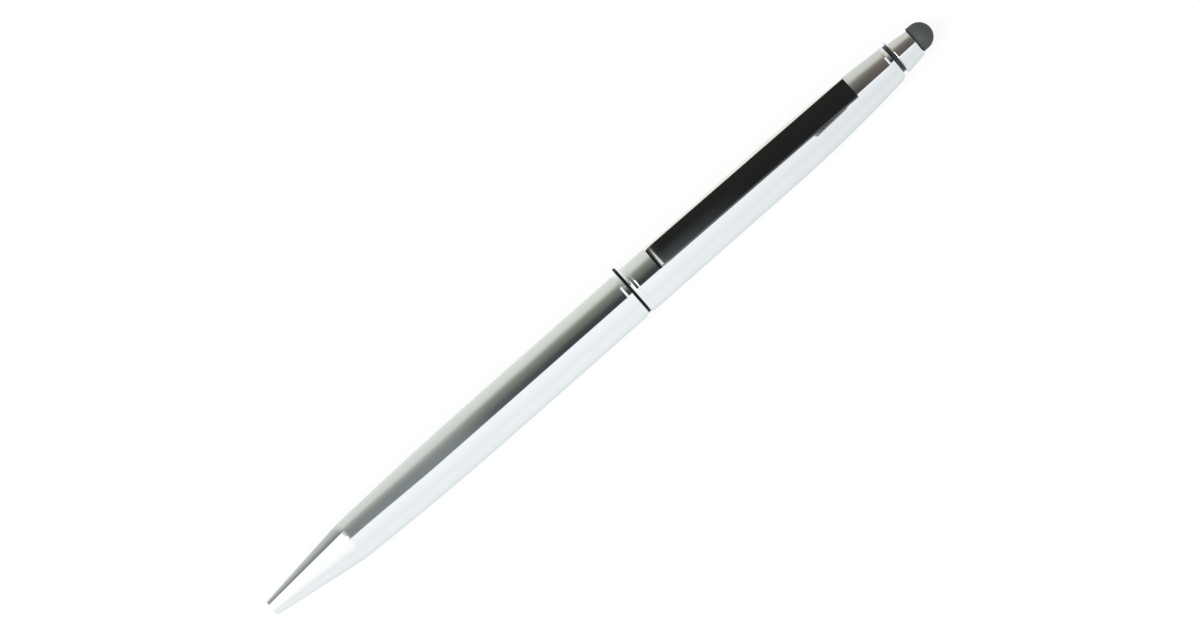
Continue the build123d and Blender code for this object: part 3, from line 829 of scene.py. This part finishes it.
def clip_lacquer():
    """Black stoved lacquer with a soft orange peel, a pale painted sheen on its near side towards the free
    end, and a fuller coat at the tip.
    """
    material, tree, surface = shader("clip_lacquer")
    cloud = grain(tree, LACQUER_GRAIN, detail=4)
    peel = grain(tree, PEEL_GRAIN, detail=2)
    place = add(tree, "SeparateXYZ", {0: add(tree, "TexCoord").outputs["Object"]}).outputs
    free_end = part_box("clip_arm")[0].x
    polished_end = free_end + POLISHED_LENGTH
    near_end = mapped(tree, place["X"], free_end, free_end + PAINTED_SHEEN_LENGTH, 1, 0)
    near_side = mapped(tree, place["Y"], PAINTED_SHEEN_START, -CLIP_WIDTH / 2)
    past_edge = mapped(tree, place["X"], free_end + EDGE_START, free_end + EDGE_END)
    # Painted sheen: the near side is lightened towards the free end, past the end's edge
    sheen_zone = worked(tree, "MULTIPLY", near_end, near_side)
    painted_sheen = worked(tree, "MULTIPLY", sheen_zone, past_edge)
    gloss = mapped(tree, place["X"], polished_end, polished_end + POLISHED_LENGTH, 1, WORN_COAT_SHARE)
    lacquer = tinted(tree, cloud, *LACQUER_TONES)
    feed(tree, surface, {
        "Base Color": blended(tree, painted_sheen, lacquer, PAINTED_SHEEN_TONE),
        "Roughness": spread(tree, cloud, *LACQUER_ROUGHNESS),
        "Specular IOR Level": 0,
        "Coat Weight": worked(tree, "MULTIPLY", gloss, past_edge),
        "Coat Roughness": COAT_ROUGHNESS,
        "Coat IOR": COAT_IOR,
        "Normal": relief(tree, peel, PEEL_DEPTH),
    })
    return material


# Dome rubber
RUBBER_TONES = ((0.049, 0.0555, 0.0565), (0.066, 0.0725, 0.0735))
RUBBER_ROUGHNESS = (0.62, 0.8)


def dome_rubber():
    """Soft conductive rubber, matt, with a fine dusty grain."""
    material, tree, surface = shader("dome_rubber")
    cloud = grain(tree, RUBBER_GRAIN, detail=5)
    speck = grain(tree, DUST_GRAIN, detail=3)
    feed(tree, surface, {
        "Base Color": tinted(tree, cloud, *RUBBER_TONES),
        "Roughness": spread(tree, speck, *RUBBER_ROUGHNESS),
        "Normal": relief(tree, speck, DUST_DEPTH),
    })
    return material


# The other finishes: two tones, roughness, grain, relief, and then metallic and specular where they differ
JOINT_SPECULAR = 0.08
finishes = {
    "saddle_steel": ((0.66, 0.67, 0.65), (0.74, 0.75, 0.74), (0.16, 0.3), DRAWN_GRAIN, DRAWN_DEPTH, 1),
    "black_plastic": ((0.012, 0.012, 0.0125), (0.02, 0.02, 0.021), (0.3, 0.45), ROUND_GRAIN, PLASTIC_DEPTH),
    # The joint's collar is painted darker than the black plastic, as painted shade in the recessed gap, and
    # reflects less
    "joint_plastic_painted_shade": (
        (0.005, 0.006, 0.005), (0.009, 0.01, 0.009), (0.4, 0.55), ROUND_GRAIN, PLASTIC_DEPTH, 0,
        JOINT_SPECULAR,
    ),
    "brass": ((0.72, 0.53, 0.25), (0.82, 0.64, 0.34), (0.18, 0.32), TURNED_GRAIN, BRASS_DEPTH, 1),
    "steel": ((0.55, 0.56, 0.57), (0.64, 0.64, 0.64), (0.15, 0.28), TURNED_GRAIN, STEEL_DEPTH, 1),
    "acetal": ((0.8, 0.79, 0.73), (0.87, 0.86, 0.81), (0.35, 0.5), ROUND_GRAIN, PLASTIC_DEPTH),
    "carrier_plastic": ((0.74, 0.74, 0.72), (0.82, 0.82, 0.8), (0.35, 0.5), ROUND_GRAIN, PLASTIC_DEPTH),
    "adapter_plastic": (
        (0.024, 0.042, 0.14), (0.035, 0.056, 0.175), (0.3, 0.45), ROUND_GRAIN, PLASTIC_DEPTH,
    ),
    "refill_metal": ((0.62, 0.61, 0.58), (0.72, 0.71, 0.68), (0.16, 0.3), DRAWN_GRAIN, DRAWN_DEPTH, 1),
    "nickel_silver": ((0.68, 0.64, 0.54), (0.77, 0.73, 0.64), (0.14, 0.26), TURNED_GRAIN, NICKEL_DEPTH, 1),
    "ink": ((0.008, 0.012, 0.08), (0.012, 0.018, 0.1), (0.08, 0.16), ROUND_GRAIN, INK_DEPTH),
    "follower_grease": ((0.7, 0.65, 0.45), (0.78, 0.73, 0.54), (0.12, 0.22), ROUND_GRAIN, GREASE_DEPTH),
}

materials = {"chrome": chrome(), "clip_lacquer": clip_lacquer(), "dome_rubber": dome_rubber()}
for name, finish in finishes.items():
    materials[name] = finish_surface(name, *finish)

# Pieces that stand for their solids: node, mesh, slot and material
new_pieces = (
    ("lower_barrel", lower_barrel(), "chrome", "chrome"),
    # The ferrule takes the darker finish that paints shade into the joint
    ("coupling_ferrule", coupling_ferrule(), "black_plastic", "joint_plastic_painted_shade"),
    ("center_ring", center_ring(), "chrome", "chrome"),
    ("upper_barrel", upper_barrel(), "chrome", "chrome"),
    ("neck_ring", neck_ring(), "black_plastic", "black_plastic"),
    ("stylus_holder", stylus_holder(), "chrome", "chrome"),
    ("stylus_dome", stylus_dome(), "dome_rubber", "dome_rubber"),
    ("refill_tip", refill_tip(), "nickel_silver", "nickel_silver"),
    ("refill_tube", refill_tube(), "refill_metal", "refill_metal"),
    ("clip_arm", clip_arm(), "clip_lacquer", "clip_lacquer"),
    ("clip_saddle", clip_saddle(), "saddle_steel", "saddle_steel"),
)
for node, mesh, slot, look in new_pieces:
    show(node, mesh, materials[look])

# Solids that keep their shape: node and material
kept_nodes = {
    "guide_tube": "brass",
    "retaining_ring": "steel",
    "cam_sleeve": "acetal",
    "carrier": "carrier_plastic",
    "drive_pin": "steel",
    "refill_adapter": "adapter_plastic",
    "refill_ink": "ink",
    "ink_follower": "follower_grease",
    "refill_ball": "steel",
    "end_plug": "brass",
}
for node, slot in kept_nodes.items():
    frame["nodes"][node].data.materials.clear()
    frame["nodes"][node].data.materials.append(materials[slot])

# Floor
FLOOR_HALF = 8.0
FLOOR_ALBEDO = (0.15, 0.15, 0.15, 1)
FLOOR_GLOW = 0.85
FLOOR_GLOW_TONE = (1, 1, 1, 1)


def floor():
    """A floor that shows white to the camera and in reflections and keeps the pen's shadow."""
    mesh = bpy.data.meshes.new("floor")
    corners = [(x * FLOOR_HALF, y * FLOOR_HALF, 0) for x, y in ((-1, -1), (1, -1), (1, 1), (-1, 1))]
    mesh.from_pydata(corners, [], [(0, 1, 2, 3)])
    material, tree, surface = shader("white_floor")
    path = add(tree, "LightPath").outputs
    seen = worked(tree, "ADD", path["Is Camera Ray"], path["Is Glossy Ray"])
    seen = worked(tree, "ADD", seen, path["Is Transmission Ray"])
    feed(tree, surface, {
        "Base Color": FLOOR_ALBEDO,
        "Roughness": 1,
        "Specular IOR Level": 0,
        "Emission Color": FLOOR_GLOW_TONE,
        "Emission Strength": worked(tree, "MULTIPLY", seen, FLOOR_GLOW),
    })
    mesh.materials.append(material)
    obj = bpy.data.objects.new("floor", mesh)
    bpy.context.scene.collection.objects.link(obj)


# Studio tent: its tones by the angle from straight up, in degrees, positive towards -Y
WHITE = (1, 1, 1)
PANEL = (1.09, 1.09, 1.11)
SIDE_PANEL = (1.01, 1.015, 1.03)
NOSE_PANEL = (1.2, 1.18, 1.16)
TAPER_PANEL = (1.27, 1.24, 1.25)
FAR_TONE = (0.8, 0.795, 0.725)
GREY_TONE = (0.5, 0.5, 0.46)
ABOVE_BARREL = (
    (-95, WHITE),
    (-86, (0.92, 0.91, 0.85)),
    (-78, (0.86, 0.855, 0.79)),
    (-60, FAR_TONE),
    (-48, (0.73, 0.73, 0.66)),
    (-42, (0.65, 0.65, 0.58)),
    (-35, (0.42, 0.423, 0.362)),
    (-27, (0.262, 0.265, 0.225)),
    (-15, (0.185, 0.188, 0.16)),
    (-6, (0.15, 0.153, 0.135)),
    (3, (0.08, 0.083, 0.08)),
    (12, (0.052, 0.055, 0.054)),
    (23.6, (0.055, 0.058, 0.062)),
    (25, PANEL),
    (40, PANEL),
    (67, SIDE_PANEL),
    (92, WHITE),
)
ABOVE_TAPER = (
    (-95, WHITE),
    (-86, (0.86, 0.85, 0.8)),
    (-60, (0.8, 0.79, 0.72)),
    (-48, (0.76, 0.74, 0.66)),
    (-42, (0.7, 0.68, 0.6)),
    (-35, (0.49, 0.455, 0.385)),
    (-27, (0.285, 0.25, 0.2)),
    (-15, (0.21, 0.18, 0.16)),
    (-6, (0.17, 0.145, 0.13)),
    (23.6, (0.14, 0.12, 0.118)),
    (25, TAPER_PANEL),
    (36, PANEL),
    (67, SIDE_PANEL),
    (92, WHITE),
)
ABOVE_SWELL = (
    (-95, WHITE),
    (-86, (0.9, 0.89, 0.84)),
    (-60, (0.78, 0.78, 0.74)),
    (-48, (0.74, 0.74, 0.69)),
    (-41, (0.7, 0.7, 0.65)),
    (-32, (0.48, 0.485, 0.45)),
    (-22, (0.34, 0.35, 0.33)),
    (-6, (0.265, 0.278, 0.265)),
    (8, (0.25, 0.27, 0.27)),
    (23.6, (0.25, 0.27, 0.29)),
    (25, PANEL),
    (40, PANEL),
    (67, SIDE_PANEL),
    (92, WHITE),
)
ABOVE_NOSE = (
    (-95, WHITE),
    (-86, (0.66, 0.66, 0.63)),
    (-62, (0.5, 0.51, 0.49)),
    (-45, (0.3, 0.31, 0.3)),
    (-34, (0.2, 0.21, 0.2)),
    (-31, NOSE_PANEL),
    (45, NOSE_PANEL),
    (75, WHITE),
)
ABOVE_TOP = (
    (-95, WHITE),
    (-66, FAR_TONE),
    (-45, GREY_TONE),
    (-29, (0.3, 0.3, 0.28)),
    (-21, PANEL),
    (40, PANEL),
    (75, WHITE),
)
ABOVE_SIDES = (
    (-95, WHITE),
    (-66, FAR_TONE),
    (-40, GREY_TONE),
    (-21, (0.25, 0.25, 0.23)),
    (-9, PANEL),
    (40, PANEL),
    (75, WHITE),
)

# Tilts along the pen, in degrees, between which one stretch of the tent gives way to the next
SWELL_TILTS = (0, -4.5)
TAPER_TILTS = (10, 15)
NOSE_TILTS = (-9.5, -16)
PAST_NOSE_TILTS = (-28, -36)
TOP_TILTS = (23, 26)
PAST_TOP_TILTS = (32, 37)
HORIZON_TILTS = (6, 3)
EDGE_TILTS = (-8.6, -5.2)
EDGE_TURN = 8
FULL_TURN = 360
UPRIGHT_SHARE = 0.5


def ramp(tree, factor, stops):
    """A colour ramp over the angle from straight up."""
    node = add(tree, "ValToRGB", {"Fac": factor})
    elements = node.color_ramp.elements
    while len(elements) < len(stops):
        elements.new(1)
    for element, (angle, color) in zip(elements, stops):
        element.position = angle / FULL_TURN + UPRIGHT_SHARE
        element.color = (*color, 1)
    return node.outputs["Color"]


def tilt_shares(tilts):
    """A direction's shares along an axis at these tilts."""
    return [math.sin(math.radians(tilt)) for tilt in tilts]


def step_over(tree, value, tilts):
    """A soft step from 0 to 1 as a direction passes from one tilt to the other."""
    return mapped(tree, value, *tilt_shares(tilts), interpolation_type="SMOOTHSTEP")


def studio():
    """A white tent with a dark gap overhead that runs along the pen and ends above the nose."""
    world = bpy.data.worlds.new("studio")
    bpy.context.scene.world = world
    world.use_nodes = True
    tree = world.node_tree
    place = add(tree, "TexCoord").outputs["Generated"]
    part = add(tree, "SeparateXYZ", {0: place}).outputs
    behind = worked(tree, "MULTIPLY", part["Y"], -1)
    lean = worked(tree, "ARCTAN2", behind, part["Z"])
    turn = mapped(tree, lean, -math.pi, math.pi)
    slide = mapped(tree, part["X"], *tilt_shares(EDGE_TILTS), EDGE_TURN / FULL_TURN, 0)
    slid_turn = worked(tree, "ADD", turn, slide)
    barrel_side = ramp(tree, slid_turn, ABOVE_BARREL)
    stretches = (
        (SWELL_TILTS, ramp(tree, slid_turn, ABOVE_SWELL)),
        (TAPER_TILTS, ramp(tree, turn, ABOVE_TAPER)),
        (NOSE_TILTS, ramp(tree, turn, ABOVE_NOSE)),
        (PAST_NOSE_TILTS, ramp(tree, turn, ABOVE_SIDES)),
        (TOP_TILTS, ramp(tree, turn, ABOVE_TOP)),
        (PAST_TOP_TILTS, barrel_side),
    )
    sky = barrel_side
    for tilts, side in stretches:
        sky = blended(tree, step_over(tree, part["X"], tilts), sky, side)
    to_horizon = step_over(tree, part["Z"], HORIZON_TILTS)
    sky = blended(tree, to_horizon, sky, (*WHITE, 1))
    tree.links.new(sky, tree.nodes["Background"].inputs["Color"])


# Key light
KEY_STRENGTH = 1.9
KEY_ANGLE = math.radians(42)
KEY_FROM = Vector((-0.55, -0.06, 0.82))


def key_light():
    """A broad soft lamp high over the nose."""
    lamp = bpy.data.lights.new("key", "SUN")
    lamp.energy = KEY_STRENGTH
    lamp.angle = KEY_ANGLE
    obj = bpy.data.objects.new("key", lamp)
    obj.rotation_mode = "QUATERNION"
    obj.rotation_quaternion = KEY_FROM.to_track_quat("Z", "Y")
    bpy.context.scene.collection.objects.link(obj)


# Camera
LENS = 150.0
SENSOR = 36.0
PIXELS_PER_METRE = 6605.0
IMAGE_SIZE = (1200, 630)
PEN_MIDDLE_PIXEL = (600.7, 317.3)
CAMERA_ELEVATION = math.radians(77.0)
PEN_SLANT = math.radians(41.4)


def camera():
    """A camera high over the near side, turned so that the pen runs from lower left to upper right."""
    data = bpy.data.cameras.new("camera")
    data.lens = LENS
    data.sensor_width = SENSOR
    obj = bpy.data.objects.new("camera", data)
    bpy.context.scene.collection.objects.link(obj)
    bpy.context.scene.camera = obj
    back = Vector((0, -math.cos(CAMERA_ELEVATION), math.sin(CAMERA_ELEVATION)))
    rise = Vector((0, math.sin(CAMERA_ELEVATION), math.cos(CAMERA_ELEVATION)))
    along = Vector((1, 0, 0))
    right = along * math.cos(PEN_SLANT) - rise * math.sin(PEN_SLANT)
    up = along * math.sin(PEN_SLANT) + rise * math.cos(PEN_SLANT)
    off_right = (PEN_MIDDLE_PIXEL[0] - IMAGE_SIZE[0] / 2) / PIXELS_PER_METRE
    off_down = (PEN_MIDDLE_PIXEL[1] - IMAGE_SIZE[1] / 2) / PIXELS_PER_METRE
    aim = Vector(((nose_x + top_x) / 2, 0, AXIS_Z)) - right * off_right + up * off_down
    distance = IMAGE_SIZE[0] / PIXELS_PER_METRE * LENS / SENSOR
    turned = Matrix((right, up, back)).transposed().to_4x4()
    obj.matrix_world = Matrix.Translation(aim + back * distance) @ turned


floor()
studio()
key_light()
camera()
